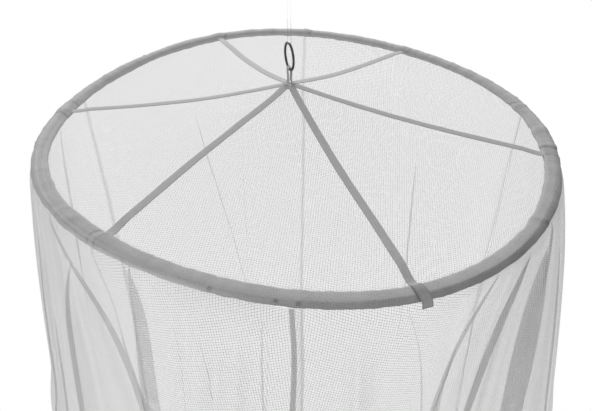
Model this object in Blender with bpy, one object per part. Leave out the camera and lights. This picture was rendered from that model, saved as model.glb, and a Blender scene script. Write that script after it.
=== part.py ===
"""Mosquito net canopy: a cloth-covered hoop under a shallow net cone, with a long flared net skirt.

Metres, +Z up, front (the door opening) toward -Y. The origin is the hanging point: the top inside
of the eye above the thread. Everything is laid out round the hoop's centre and moved once at the end.
"""
import math

import bpy
import bmesh
import numpy as np

# ---------------------------------------------------------------- driving dimensions
HOOP_DROP = 0.190            # hanging point to the hoop's middle plane
HOOP_OFFSET = 0.010          # the peak sits a little to one side of the hoop's centre
HOOP_RADIUS = 0.300          # centre line of the rod
ROD_DIAMETER = 0.005
ROD_SEAT = 0.0003            # the casing hangs from the rod's upper side
CASING_HALF_WIDTH = 0.0094
CASING_HALF_HEIGHT = 0.0045
CASING_WALL = 0.0012
CASING_EDGES = (-38.0, 296.0)    # degrees round the rod: a slit stays open low on the outer side
STATIONS = 60                # round the hoop

PEAK = (-0.010, 0.0, 0.057)  # of the cap, from the hoop's centre
CAP_THICKNESS = 0.0012
CAP_RINGS = 7
CAP_SAG = 0.0055
CAP_EDGE_GAP = 0.0008        # between the cap's edge and the casing
CAP_EDGE_RISE = 0.0016       # the cap meets the casing above its middle

TAPE_HALF_WIDTH = 0.00475
TAPE_THICKNESS = 0.0010
TAPE_GAP = 0.0005            # above the cap
TAPE_START = 0.0035          # each tape starts this far from the peak
TAPE_REACH = 0.29            # peak to the casing
TAPE_MITRE = 28.6            # degrees each side: six tapes taper to meet at the peak
TAPE_SIDE_GAP = 0.0003       # between the tapered sides
TAPE_LIFT = 0.0010           # over the casing
# angle on the hoop (degrees), sideways bow halfway (m), length of the free end past the casing (m)
TAPES = (
    (55.0, 0.000, 0.000),
    (116.0, 0.002, 0.000),
    (174.0, 0.000, 0.000),
    (232.5, -0.008, 0.000),
    (291.8, 0.000, 0.0045),
    (349.5, 0.001, 0.000),
)

RING_RADIUS = 0.0156         # centre line of the wire
RING_WIRE = 0.0028
RING_CENTRE_Z = 0.092        # above the hoop's centre
RING_TURN = -19.0            # degrees from the front-to-back plane
LOOP_WIDTH = 0.008
LOOP_THICKNESS = 0.0010
LOOP_LIFT = 0.0009           # its foot rides over the tapes' upper edges
WIRE_CLEARANCE = 0.0004      # between the wire and what passes round it
THREAD_DIAMETER = 0.0011
THREAD_TOP_Z = 0.1685        # where the doubled thread meets its knot, above the hoop's centre
KNOT_RADIUS = 0.0024
EYE_THREAD = 0.0012

SKIRT_THICKNESS = 0.0015
SKIRT_TOP = 0.0107           # outward from the rod's centre line to the middle of the cloth
SKIRT_LENGTH = 2.150
SWING_REACH = 0.45           # the depth over which the flutes swing out
FLARE = 0.10                 # steady outward slope below that
SEAM_GAP = 0.0002            # each side of a seam
# depths of the rows below the hoop
ROWS = (0.0, 0.012, 0.035, 0.07, 0.11, 0.16, 0.22, 0.30, 0.40, 0.54, 0.74, 1.00, 1.32, 1.70, 2.15)
# name, first and last seam (degrees)
PANELS = (
    ("skirt_front_left", 232.0, 269.6),
    ("skirt_front_right", 268.7, 304.0),
    ("skirt_right", 304.0, 372.5),
    ("skirt_back_right", 12.5, 88.0),
    ("skirt_back_left", 88.0, 163.0),
    ("skirt_left", 163.0, 232.0),
)
DOOR_LIFT = 0.0030           # the left door edge rides this far outside the right one
# angle (degrees), outward slope of the cloth just under the casing
SWING = (
    (0, 0.17), (14, 0.02), (30, 0.15), (44, 0.00), (58, 0.15), (73, 0.00), (88, 0.10), (103, -0.02),
    (118, 0.15), (132, 0.00), (146, 0.13), (160, -0.03), (174, 0.16), (186, 0.10), (199, 0.225),
    (212, 0.19), (219, 0.13), (229, -0.09), (240, 0.10), (252, 0.24), (270, 0.30), (290, 0.20),
    (300, 0.02), (307, -0.16), (314, -0.03), (323, 0.06), (334, 0.28), (345, 0.285),
)
# angle (degrees), extra slope of the flutes that only open far below the casing
LATE = (
    (0, -0.03), (9, 0.03), (20, -0.02), (30, 0.02), (44, -0.02), (58, 0.01), (66, 0.03), (74, -0.03), (88, 0.02),
    (96, -0.03), (108, 0.02), (118, -0.03), (126, 0.01), (140, 0.03), (151, -0.02), (160, 0.02), (174, -0.02),
    (184, 0.02), (192, -0.04), (200, 0.03), (206, -0.05), (213, 0.03), (229, 0.02), (238, -0.02), (250, 0.03),
    (258, -0.06), (267, 0.03), (273, 0.03), (282, -0.055), (291, 0.03), (298, -0.01), (307, 0.03), (318, -0.02),
    (328, 0.03), (337, -0.055), (346, 0.03),
)
LATE_START = 0.35
# angle (degrees), start depth, height of the step at a depth of 0.25, half width there, which way it steps
STEPS = (
    (218.0, 0.030, 0.0045, 0.0090, -1.0),
    (243.5, 0.010, 0.0045, 0.0110, -1.0),
    (314.5, 0.020, 0.0040, 0.0085, 1.0),
    (325.6, 0.030, 0.0100, 0.0120, 1.0),
)


# ---------------------------------------------------------------- materials
def make_material(name, colour, roughness, metallic=0.0, alpha=1.0):
    material = bpy.data.materials.new(name)
    material.use_nodes = True
    shader = material.node_tree.nodes["Principled BSDF"]
    shader.inputs["Base Color"].default_value = (colour[0], colour[1], colour[2], 1.0)
    shader.inputs["Roughness"].default_value = roughness
    shader.inputs["Metallic"].default_value = metallic
    shader.inputs["Alpha"].default_value = alpha
    material.diffuse_color = (colour[0], colour[1], colour[2], alpha)
    return material


# ---------------------------------------------------------------- shapes shared by several pieces
def hoop_curve(angle):
    """Radius and height of the rod's centre line: the hoop hangs slightly oval, tilted and warped."""
    radius = HOOP_RADIUS + 0.0072 * np.cos(2 * angle) - 0.0013 * np.sin(2 * angle) - 0.0010 * np.sin(3 * angle)
    height = (-0.0091 * np.cos(angle) - 0.0003 * np.sin(angle) - 0.0025 * np.cos(2 * angle)
              + 0.0053 * np.sin(2 * angle) + 0.0049 * np.cos(3 * angle) - 0.0018 * np.sin(3 * angle))
    return radius, height


def round_curve(angle, table):
    """Smooth closed curve through (degrees, value) rows that never overshoots between two rows."""
    rows = np.array(sorted(table), float)
    x = np.radians(rows[:, 0])
    y = rows[:, 1]
    x = np.concatenate([x[-2:] - 2 * np.pi, x, x[:3] + 2 * np.pi])
    y = np.concatenate([y[-2:], y, y[:3]])
    step = np.diff(x)
    slope = np.diff(y) / step
    tangent = np.zeros_like(y)
    after = 2 * step[1:] + step[:-1]
    before = step[1:] + 2 * step[:-1]
    same = slope[:-1] * slope[1:] > 0
    first = np.where(same, slope[:-1], 1.0)
    second = np.where(same, slope[1:], 1.0)
    tangent[1:-1] = np.where(same, (after + before) / (after / first + before / second), 0.0)
    angle = np.mod(angle, 2 * np.pi)
    i = np.clip(np.searchsorted(x, angle, side="right") - 1, 0, len(x) - 2)
    u = (angle - x[i]) / step[i]
    value = y[i] * (2 * u ** 3 - 3 * u ** 2 + 1) + y[i + 1] * (3 * u ** 2 - 2 * u ** 3)
    value += step[i] * (tangent[i] * (u ** 3 - 2 * u ** 2 + u) + tangent[i + 1] * (u ** 3 - u ** 2))
    return value


def ease(depth, reach):
    return reach * (1 - np.exp(-depth / reach))


def skirt_point(angle, depth, lift=0.0):
    """Middle of the skirt's cloth: each angle of the hoop drops a line that leans by SWING, then by FLARE."""
    radius, height = hoop_curve(angle)
    swing = round_curve(angle, SWING)
    near = ease(depth, SWING_REACH)
    late = np.maximum(depth - LATE_START, 0.0)
    late = round_curve(angle, LATE) * late ** 2 / (late + 0.4)
    out = radius + SKIRT_TOP + swing * near + FLARE * (depth - near) + late + lift
    for degrees, start, tall, wide, way in STEPS:
        growth = ease(np.maximum(depth - start, 0.0), 0.5) / ease(0.25 - start, 0.5)
        away = (np.mod(angle - math.radians(degrees) + np.pi, 2 * np.pi) - np.pi) * radius
        t = away / (wide * (0.55 + 0.45 * growth))
        out = out - way * tall * growth * 1.6487 * t * np.exp(-t * t / 2)
    return np.stack([out * np.cos(angle), out * np.sin(angle), height - depth], -1)


def cap_point(part, angle):
    """Middle of the cap's net, part 0 at the peak and 1 at the edge beside the casing."""
    radius, height = hoop_curve(angle)
    edge = radius - CASING_HALF_WIDTH - CAP_EDGE_GAP
    x = PEAK[0] + part * (edge * np.cos(angle) - PEAK[0])
    y = PEAK[1] + part * (edge * np.sin(angle) - PEAK[1])
    z = PEAK[2] + part * (height + CAP_EDGE_RISE - PEAK[2]) - CAP_SAG * 4 * part * (1 - part) * (1.35 - 0.7 * part)
    return np.stack([x, y, z], -1)


# ---------------------------------------------------------------- builders
def add_solid(name, points, faces, material):
    """Move the piece to the shared frame and make it one closed body with its faces outward."""
    placed = np.asarray(points, float) + np.array([HOOP_OFFSET, 0.0, -HOOP_DROP])
    mesh = bpy.data.meshes.new(name)
    mesh.from_pydata([tuple(p) for p in placed.tolist()], [], [tuple(f) for f in faces])
    work = bmesh.new()
    work.from_mesh(mesh)
    bmesh.ops.triangulate(work, faces=work.faces[:])
    bmesh.ops.recalc_face_normals(work, faces=work.faces[:])
    if work.calc_volume(signed=True) < 0:
        bmesh.ops.reverse_faces(work, faces=work.faces[:])
    work.to_mesh(mesh)
    work.free()
    mesh.materials.append(material)
    thing = bpy.data.objects.new(name, mesh)
    bpy.context.scene.collection.objects.link(thing)
    return thing


def grid_faces(rows, columns, start=0, wrap_rows=False, wrap_columns=False):
    faces = []
    last_row = rows if wrap_rows else rows - 1
    last_column = columns if wrap_columns else columns - 1
    for i in range(last_row):
        for j in range(last_column):
            a = start + i * columns + j
            b = start + i * columns + (j + 1) % columns
            c = start + ((i + 1) % rows) * columns + (j + 1) % columns
            d = start + ((i + 1) % rows) * columns + j
            faces.append((a, b, c))
            faces.append((a, c, d))
    return faces


def sweep(name, sections, material, closed=False):
    """A solid through equal closed sections (stations x corners x 3); open ones get flat ends."""
    sections = np.asarray(sections, float)
    stations, corners = sections.shape[:2]
    faces = grid_faces(stations, corners, 0, closed, True)
    if not closed:
        faces.append(tuple(range(corners)))
        faces.append(tuple((stations - 1) * corners + k for k in range(corners)))
    return add_solid(name, sections.reshape(-1, 3), faces, material)


def thick_sheet(name, middle, normal, thickness, material):
    """A sheet of even thickness over a grid of middle points, closed round its four edges."""
    rows, columns = middle.shape[:2]
    count = rows * columns
    top = (middle + normal * thickness / 2).reshape(-1, 3)
    bottom = (middle - normal * thickness / 2).reshape(-1, 3)
    faces = grid_faces(rows, columns)
    faces += [tuple(count + k for k in reversed(face)) for face in grid_faces(rows, columns)]
    rim = [j for j in range(columns)]
    rim += [i * columns + columns - 1 for i in range(1, rows)]
    rim += [(rows - 1) * columns + j for j in range(columns - 2, -1, -1)]
    rim += [i * columns for i in range(rows - 2, 0, -1)]
    for k, a in enumerate(rim):
        b = rim[(k + 1) % len(rim)]
        faces.append((a, b, count + b))
        faces.append((a, count + b, count + a))
    return add_solid(name, np.concatenate([top, bottom]), faces, material)


def strip(name, path, normals, sides, half_widths, thickness, material):
    """A flat strip along a path, as one rectangle swept from end to end."""
    path = np.asarray(path, float)
    across = np.asarray(sides, float) * np.asarray(half_widths, float)[:, None]
    up = np.asarray(normals, float) * thickness / 2
    corners = np.stack([path - across - up, path + across - up, path + across + up, path - across + up], 1)
    return sweep(name, corners, material)


def unit(vectors):
    return vectors / np.linalg.norm(vectors, axis=-1, keepdims=True)


# ---------------------------------------------------------------- the pieces
def build_hoop(material):
    angle = np.radians(np.arange(STATIONS) * 360.0 / STATIONS)[:, None]
    around = np.radians(np.arange(8) * 45.0)[None, :]
    radius, height = hoop_curve(angle)
    out = radius + ROD_DIAMETER / 2 * np.cos(around)
    z = height + ROD_SEAT + ROD_DIAMETER / 2 * np.sin(around)
    sections = np.stack([out * np.cos(angle), out * np.sin(angle), z], -1)
    sweep("hoop", sections, material, closed=True)


def build_casing(material):
    """A sleeve folded round the rod. Its two edges meet with a slit low on the outer side."""
    turn = np.radians(np.linspace(*CASING_EDGES, 9))
    outer = np.stack([CASING_HALF_WIDTH * np.cos(turn), CASING_HALF_HEIGHT * np.sin(turn)], -1)
    inner = np.stack([(CASING_HALF_WIDTH - CASING_WALL) * np.cos(turn),
                      (CASING_HALF_HEIGHT - CASING_WALL) * np.sin(turn)], -1)
    section = np.concatenate([outer, inner[::-1]])
    angle = np.radians(np.arange(STATIONS) * 360.0 / STATIONS)[:, None]
    radius, height = hoop_curve(angle)
    out = radius + section[None, :, 0]
    z = height + section[None, :, 1]
    sections = np.stack([out * np.cos(angle), out * np.sin(angle), z], -1)
    sweep("casing", sections, material, closed=True)


def build_cap(material):
    """One round sheet: rings of points out from a single point at the peak, top and underside."""
    angle = np.radians(np.arange(STATIONS) * 360.0 / STATIONS)[None, :]
    part = (np.arange(1, CAP_RINGS + 1) / CAP_RINGS)[:, None]
    middle = cap_point(part, angle)
    slope_in = cap_point(part - 0.01, angle)
    slope_out = cap_point(part + 0.01, angle)
    along = unit(slope_out - slope_in)
    around = np.stack([-np.sin(angle) + 0 * part, np.cos(angle) + 0 * part, 0 * angle + 0 * part], -1)
    normal = unit(np.cross(along, around))
    top = (middle + normal * CAP_THICKNESS / 2).reshape(-1, 3)
    bottom = (middle - normal * CAP_THICKNESS / 2).reshape(-1, 3)
    peak = np.array(PEAK)
    points = np.concatenate([top, bottom, [peak + (0, 0, CAP_THICKNESS / 2)], [peak - (0, 0, CAP_THICKNESS / 2)]])
    count = CAP_RINGS * STATIONS
    faces = grid_faces(CAP_RINGS, STATIONS, 0, False, True)
    faces += [tuple(count + k for k in reversed(face)) for face in grid_faces(CAP_RINGS, STATIONS, 0, False, True)]
    for j in range(STATIONS):
        k = (j + 1) % STATIONS
        faces.append((2 * count, k, j))
        faces.append((2 * count + 1, count + j, count + k))
        a = (CAP_RINGS - 1) * STATIONS + j
        b = (CAP_RINGS - 1) * STATIONS + k
        faces.append((a, b, count + b))
        faces.append((a, count + b, count + a))
    add_solid("cap", points, faces, material)


def tape_path(degrees, bow, free_end):
    """Middle line of one tape, over the cap to the casing's inner side, or past it if its end is free."""
    lift = CAP_THICKNESS / 2 + TAPE_GAP + TAPE_THICKNESS / 2
    angle = math.radians(degrees)
    start = TAPE_START / TAPE_REACH
    part = start + (1 - start) * np.linspace(0.0, 1.0, 10)
    bowed = angle + bow * np.sin(np.pi * part) / (TAPE_REACH * np.maximum(part, 0.25))
    over_cap = cap_point(part, bowed)
    heading = np.array([math.cos(angle), math.sin(angle), 0.0])
    over_cap[:, 2] += lift
    radius, height = hoop_curve(angle)
    # outward and upward from the rod's centre line, round the casing's upper side
    wide = CASING_HALF_WIDTH + TAPE_LIFT
    high = CASING_HALF_HEIGHT + TAPE_LIFT
    turns = (135, 108, 80, 52) if free_end else (148,)
    across = [(wide * math.cos(math.radians(t)), high * math.sin(math.radians(t))) for t in turns]
    if free_end:
        # then off the casing's shoulder and a little way down outside the skirt's top edge
        across += [(0.0106, 0.0036), (0.0133, 0.0010), (0.0145, -free_end)]
    crossing = np.array([heading * (radius + out) + np.array([0.0, 0.0, height + up]) for out, up in across])
    path = np.concatenate([over_cap, crossing])
    forward = unit(np.gradient(path, axis=0))
    flat = forward.copy()
    flat[:, 2] = 0.0
    count = len(over_cap)
    side = np.empty_like(path)
    side[:count] = np.cross((0.0, 0.0, 1.0), unit(flat[:count]))
    side[count:] = np.cross((0.0, 0.0, 1.0), heading)
    # the hoop climbs or falls across the tape's width, and the tape lies on it
    climb = (hoop_curve(angle + 0.01)[1] - hoop_curve(angle - 0.01)[1]) / (0.02 * radius)
    side[:, 2] = climb
    side = unit(side)
    normal = unit(np.cross(forward, side))
    return path, normal, side


def build_tapes(material):
    narrowest = math.tan(math.radians(TAPE_MITRE))
    for number, (degrees, bow, free_end) in enumerate(TAPES, 1):
        path, normal, side = tape_path(degrees, bow, free_end)
        away = np.hypot(path[:, 0] - PEAK[0], path[:, 1] - PEAK[1])
        # one more station where the mitred start reaches the full width
        meet = (TAPE_HALF_WIDTH + TAPE_SIDE_GAP) / narrowest
        k = int(np.searchsorted(away, meet))
        u = (meet - away[k - 1]) / (away[k] - away[k - 1])
        extra = path[k - 1] * (1 - u) + path[k] * u
        path = np.insert(path, k, extra, axis=0)
        normal = np.insert(normal, k, unit(normal[k - 1] + normal[k]), axis=0)
        side = np.insert(side, k, unit(side[k - 1] + side[k]), axis=0)
        away = np.insert(away, k, meet)
        half = np.minimum(TAPE_HALF_WIDTH, away * narrowest - TAPE_SIDE_GAP)
        strip("tape_%d" % number, path, normal, side, half, TAPE_THICKNESS, material)


def ring_axes():
    """Direction across the ring's face, and along its width."""
    turn = math.radians(RING_TURN)
    across = np.array([math.cos(turn), -math.sin(turn), 0.0])
    along = np.array([math.sin(turn), math.cos(turn), 0.0])
    return across, along


def build_ring(material):
    across, along = ring_axes()
    up = np.array([0.0, 0.0, 1.0])
    centre = np.array([PEAK[0], PEAK[1], RING_CENTRE_Z])
    turn = np.radians(np.arange(28) * 360.0 / 28)[:, None, None]
    section = np.radians(np.arange(8) * 45.0)[None, :, None]
    spoke = np.cos(turn) * along + np.sin(turn) * up
    points = centre + spoke * (RING_RADIUS + RING_WIRE / 2 * np.cos(section)) + across * RING_WIRE / 2 * np.sin(section)
    sweep("ring", points, material, closed=True)


def build_hanging_loop(material):
    """A strip over the ring's lowest wire, its two ends spread flat over the tapes at the peak."""
    across, along = ring_axes()
    wire = RING_CENTRE_Z - RING_RADIUS
    bend = RING_WIRE / 2 + WIRE_CLEARANCE + LOOP_THICKNESS / 2
    lift = CAP_THICKNESS / 2 + TAPE_GAP + TAPE_THICKNESS + LOOP_LIFT + LOOP_THICKNESS / 2
    # height of the foot where it lies on the tapes, 3.8 and 7.2 mm from the peak
    low, high = (float(cap_point(away / HOOP_RADIUS, 0.0)[2]) + lift for away in (0.0072, 0.0038))
    half = [(0.0072, low), (0.0040, high), (0.0023, high + 0.0010), (0.0018, high + 0.0034),
            (0.0019, wire - 0.0050), (bend * 0.96, wire - 0.0012)]
    # the wire curves up out of the strip's middle, so the bend sits a little above it
    clear = RING_RADIUS - math.sqrt(RING_RADIUS ** 2 - (LOOP_WIDTH / 2) ** 2)
    over = [(bend * math.sin(t), wire + clear + bend * math.cos(t)) for t in np.radians([68, 34, 0, -34, -68])]
    profile = np.array(half + over + [(-x, z) for x, z in reversed(half)])
    path = np.array([PEAK[0], PEAK[1], 0.0]) + profile[:, :1] * across + profile[:, 1:] * np.array([0.0, 0.0, 1.0])
    forward = unit(np.gradient(path, axis=0))
    side = np.repeat(along[None, :], len(path), axis=0)
    normal = unit(np.cross(forward, side))
    strip("hanging_loop", path, normal, side, np.full(len(path), LOOP_WIDTH / 2), LOOP_THICKNESS, material)


def thread_route():
    """Down from the knot, under the ring's highest wire and up again, in the plane across the ring."""
    across, along = ring_axes()
    wire = RING_CENTRE_Z + RING_RADIUS
    bend = RING_WIRE / 2 + WIRE_CLEARANCE + THREAD_DIAMETER / 2
    top = THREAD_TOP_Z
    leg = [(0.0012 + (bend - 0.0012) * (1 - u), wire + (top - wire) * u) for u in np.linspace(1.0, 0.0, 23)]
    under = [(bend * math.cos(t), wire - bend * math.sin(t)) for t in np.radians([30, 60, 90, 120, 150])]
    profile = leg + under + [(-x, z) for x, z in reversed(leg)]
    return [np.array([PEAK[0], PEAK[1], z]) + across * x for x, z in profile]


def build_thread(material):
    route = thread_route()
    curve = bpy.data.curves.new("thread", "CURVE")
    curve.dimensions = "3D"
    curve.bevel_depth = THREAD_DIAMETER / 2
    curve.bevel_resolution = 2
    curve.use_fill_caps = True
    line = curve.splines.new("POLY")
    line.points.add(len(route) - 1)
    for point, place in zip(line.points, route):
        point.co = (place[0] + HOOP_OFFSET, place[1], place[2] - HOOP_DROP, 1.0)
    curve.materials.append(material)
    thing = bpy.data.objects.new("thread", curve)
    bpy.context.scene.collection.objects.link(thing)


def build_thread_knot(material):
    """The knot and its eye: one closed loop of thread, swollen where it is knotted."""
    across, along = ring_axes()
    low = THREAD_TOP_Z + 0.0004 + KNOT_RADIUS
    high = HOOP_DROP + EYE_THREAD / 2
    turn = np.radians(np.arange(20) * 18.0 - 90.0)
    x = 0.0042 * np.cos(turn) * (1 + 0.25 * np.sin(turn))
    z = (low + high) / 2 + (high - low) / 2 * np.sin(turn)
    middle = np.array([PEAK[0], PEAK[1], 0.0]) + x[:, None] * across + z[:, None] * np.array([0.0, 0.0, 1.0])
    tangent = unit(np.roll(middle, -1, axis=0) - np.roll(middle, 1, axis=0))
    inward = unit(np.cross(tangent, np.repeat(along[None, :], 20, axis=0)))
    swell = np.exp(-((z - low) / 0.0022) ** 2)
    size = EYE_THREAD / 2 + (KNOT_RADIUS - EYE_THREAD / 2) * swell
    section = np.radians(np.arange(8) * 45.0)[None, :, None]
    points = middle[:, None, :] + size[:, None, None] * (np.cos(section) * inward[:, None, :] + np.sin(section) * along)
    sweep("thread_knot", points, material, closed=True)


def panel_columns(first, last):
    """Angles across one panel, closer together where the cloth turns sharply."""
    fine = np.linspace(first, last, 1601)
    swing = round_curve(np.radians(fine), SWING) + 2 * round_curve(np.radians(fine), LATE)
    bend = np.abs(np.gradient(np.gradient(swing, fine), fine))
    weight = 0.19 + np.minimum(1.4 * np.sqrt(bend), 0.22)
    for degrees, start, tall, wide, way in STEPS:
        away = np.mod(fine - degrees + 180.0, 360.0) - 180.0
        weight += 0.60 * np.exp(-(away / 3.4) ** 2)
    total = np.concatenate([[0.0], np.cumsum((weight[1:] + weight[:-1]) / 2 * np.diff(fine))])
    count = int(math.ceil(total[-1]))
    return np.interp(np.linspace(0.0, total[-1], count + 1), total, fine)


def build_skirt(material):
    depth = np.array(ROWS)[:, None]
    for name, first, last in PANELS:
        columns = np.radians(panel_columns(first, last))
        gap = SEAM_GAP / HOOP_RADIUS
        columns[0] += gap
        columns[-1] -= gap
        angle = columns[None, :] + 0 * depth
        below = depth + 0 * angle

        def lift(at):
            if name != "skirt_front_left":
                return 0.0 * at
            return DOOR_LIFT * (1 + depth) * np.exp(-((at - columns[-1]) * HOOP_RADIUS / 0.022) ** 2)

        step = 1e-4
        middle = skirt_point(angle, below, lift(angle))
        around = skirt_point(angle + step, below, lift(angle + step)) - skirt_point(angle - step, below, lift(angle - step))
        down = skirt_point(angle, below + step, lift(angle)) - skirt_point(angle, below, lift(angle))
        normal = unit(np.cross(down, around))
        thick_sheet(name, middle, normal, SKIRT_THICKNESS, material)


def build_all():
    for thing in list(bpy.data.objects):
        bpy.data.objects.remove(thing)
    net = make_material("net", (0.80, 0.80, 0.80), 0.80)
    cap_net = make_material("cap_net", (0.80, 0.80, 0.80), 0.80)
    sleeve = make_material("casing_cloth", (0.78, 0.78, 0.78), 0.85)
    tape = make_material("tape", (0.76, 0.76, 0.76), 0.80)
    steel = make_material("steel", (0.45, 0.45, 0.46), 0.30, 1.0)
    rod = make_material("rod", (0.55, 0.55, 0.56), 0.45, 1.0)
    clear = make_material("clear_thread", (0.90, 0.90, 0.90), 0.20)
    build_hoop(rod)
    build_casing(sleeve)
    build_cap(cap_net)
    build_tapes(tape)
    build_hanging_loop(tape)
    build_ring(steel)
    build_thread(clear)
    build_thread_knot(clear)
    build_skirt(net)


build_all()
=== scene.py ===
import math

import bpy
import numpy as np
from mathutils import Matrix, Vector


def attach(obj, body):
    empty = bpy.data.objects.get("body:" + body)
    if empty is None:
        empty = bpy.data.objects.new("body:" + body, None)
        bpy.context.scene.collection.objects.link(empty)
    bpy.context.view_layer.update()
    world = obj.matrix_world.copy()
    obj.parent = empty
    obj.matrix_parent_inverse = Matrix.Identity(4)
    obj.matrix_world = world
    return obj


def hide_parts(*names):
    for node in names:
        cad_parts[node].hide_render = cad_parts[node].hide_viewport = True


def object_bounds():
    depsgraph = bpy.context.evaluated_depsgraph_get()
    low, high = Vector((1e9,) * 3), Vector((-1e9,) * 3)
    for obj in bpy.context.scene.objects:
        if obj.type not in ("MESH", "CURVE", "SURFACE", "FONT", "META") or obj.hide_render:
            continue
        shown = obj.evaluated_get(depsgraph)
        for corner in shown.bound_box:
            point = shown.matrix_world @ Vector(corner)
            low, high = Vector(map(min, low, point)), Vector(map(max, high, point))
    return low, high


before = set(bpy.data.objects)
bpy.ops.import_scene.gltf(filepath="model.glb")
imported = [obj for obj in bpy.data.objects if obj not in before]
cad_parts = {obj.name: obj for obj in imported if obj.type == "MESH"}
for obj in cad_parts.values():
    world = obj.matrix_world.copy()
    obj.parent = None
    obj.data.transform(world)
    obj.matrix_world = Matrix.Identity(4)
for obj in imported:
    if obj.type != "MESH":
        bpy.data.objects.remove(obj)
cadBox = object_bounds()
scene = bpy.context.scene
print("frame loaded")

# every piece is worked out from the hoop's centre, and the hoop lies about level with it
canopy = {
    "hoopCentre": (0.010, 0.0, -0.190),
    "hoopRadius": 0.300,
    # waves that make the hoop oval, tilted and warped: times round, cosine part, sine part
    "radiusWaves": ((2, 0.0072, -0.0013), (3, 0.0, -0.0010)),
    "heightWaves": ((1, -0.0091, -0.0003), (2, -0.0025, 0.0053), (3, 0.0049, -0.0018)),
    "casingHalfWidth": 0.0094,
    "casingHalfHeight": 0.0045,
    "peak": (-0.010, 0.0, 0.057),
}
hoopCentre = np.array(canopy["hoopCentre"])
peak = np.array(canopy["peak"])
hoopRadius = canopy["hoopRadius"]
upward = np.array([0.0, 0.0, 1.0])


def newObject(name, data):
    made = bpy.data.objects.new(name, data)
    scene.collection.objects.link(made)
    return made


# helpers for shader nodes. A new node goes into the tree that its inputs come from
def fill(node, inputs):
    # a number or colour is set on its socket, and another node's output is joined to it
    for name, value in inputs.items():
        if isinstance(value, bpy.types.NodeSocket):
            node.id_data.links.new(value, node.inputs[name])
        else:
            node.inputs[name].default_value = value
    return node


def addNode(kind, inputs, operation=None):
    tree = [value.id_data for value in inputs.values() if isinstance(value, bpy.types.NodeSocket)][0]
    node = tree.nodes.new(kind)
    if operation:
        node.operation = operation
    return fill(node, inputs)


def calc(operation, *values):
    return addNode("ShaderNodeMath", dict(enumerate(values)), operation).outputs[0]


def remap(value, low, high, newLow, newHigh, kind="LINEAR"):
    # carries the range low to high onto the range newLow to newHigh
    inputs = {"Value": value, "From Min": low, "From Max": high, "To Min": newLow, "To Max": newHigh}
    node = addNode("ShaderNodeMapRange", inputs)
    node.interpolation_type = kind
    return node.outputs["Result"]


def attributeValue(tree, name):
    node = tree.nodes.new("ShaderNodeAttribute")
    node.attribute_name = name
    return node.outputs["Fac"]


def flatPlace(tree):
    node = tree.nodes.new("ShaderNodeUVMap")
    node.uv_map = "cloth"
    return node.outputs["UV"]


def noiseTexture(place, scale, detail, output="Fac"):
    return addNode("ShaderNodeTexNoise", {"Vector": place, "Scale": scale, "Detail": detail}).outputs[output]


def colourMix(tree, kind, factor, first, second):
    node = tree.nodes.new("ShaderNodeMix")
    node.data_type = "RGBA"
    node.blend_type = kind
    return fill(node, {"Factor": factor, "A": first, "B": second}).outputs["Result"]


def addBump(shader, height, strength, distance):
    bump = addNode("ShaderNodeBump", {"Height": height, "Strength": strength, "Distance": distance})
    fill(shader, {"Normal": bump.outputs["Normal"]})


def newMaterial(name, colour, roughness, metallic=0.0):
    material = bpy.data.materials.new(name)
    material.use_nodes = True
    tree = material.node_tree
    shader = tree.nodes["Principled BSDF"]
    fill(shader, {"Base Color": (*colour, 1.0), "Roughness": roughness, "Metallic": metallic})
    return material, tree, shader


def steelMaterial(name, look, scale, detail):
    # bare metal whose roughness varies in small patches between two values
    material, tree, shader = newMaterial(name, look["colour"], look["roughness"][0], 1.0)
    place = tree.nodes.new("ShaderNodeTexCoord").outputs["Object"]
    patches = noiseTexture(place, scale, detail)
    fill(shader, {"Roughness": remap(patches, 0.0, 1.0, *look["roughness"])})
    return material


# camera, light and floor: the camera stands close, above the hoop, and looks down into the net
studio = {
    "cameraFromHoop": (0.0, -0.6157, 0.3647),
    "cameraTurn": (51.18, -0.03, 0.22),
    "lens": 34.0,    # mm
    "brightSide": (-0.20, 0.0, 0.98),    # the sky is brightest above
    "skyDim": 0.20,
    "skyBright": 0.38,
    "keyFromHoop": (-0.30, 1.95, 0.74),    # and a window stands low behind
    "keyPower": 21.0,
    "keySize": 1.2,
    "floorBelowHem": 0.03,
    "floorHalf": 4.0,
}
white = (1.0, 1.0, 1.0, 1.0)


def addCamera():
    camera = bpy.data.cameras.new("camera")
    camera.lens = studio["lens"]
    camera.clip_start = 0.01
    stand = newObject("camera", camera)
    stand.location = hoopCentre + studio["cameraFromHoop"]
    stand.rotation_euler = [math.radians(turn) for turn in studio["cameraTurn"]]
    scene.camera = stand


def addLight():
    # a white sky to look at, and a dimmer one that lights the cloth
    world = bpy.data.worlds.new("studio")
    world.use_nodes = True
    tree = world.node_tree
    heading = tree.nodes.new("ShaderNodeTexCoord").outputs["Generated"]
    toward = addNode("ShaderNodeVectorMath", {0: heading, 1: studio["brightSide"]}, "DOT_PRODUCT")
    light = remap(toward.outputs["Value"], -1.0, 1.0, studio["skyDim"], studio["skyBright"])
    strength = tree.nodes.new("ShaderNodeMix")
    strength.data_type = "FLOAT"
    seen = tree.nodes.new("ShaderNodeLightPath").outputs["Is Camera Ray"]
    fill(strength, {0: seen, 2: light, 3: 1.0})
    fill(tree.nodes["Background"], {"Color": white, "Strength": strength.outputs[0]})
    scene.world = world

    key = bpy.data.lights.new("key", "AREA")
    key.energy = studio["keyPower"]
    key.size = studio["keySize"]
    stand = newObject("key", key)
    stand.location = hoopCentre + studio["keyFromHoop"]
    aim = Vector(hoopCentre) - stand.location
    stand.rotation_euler = aim.to_track_quat("-Z", "Y").to_euler()


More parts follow.
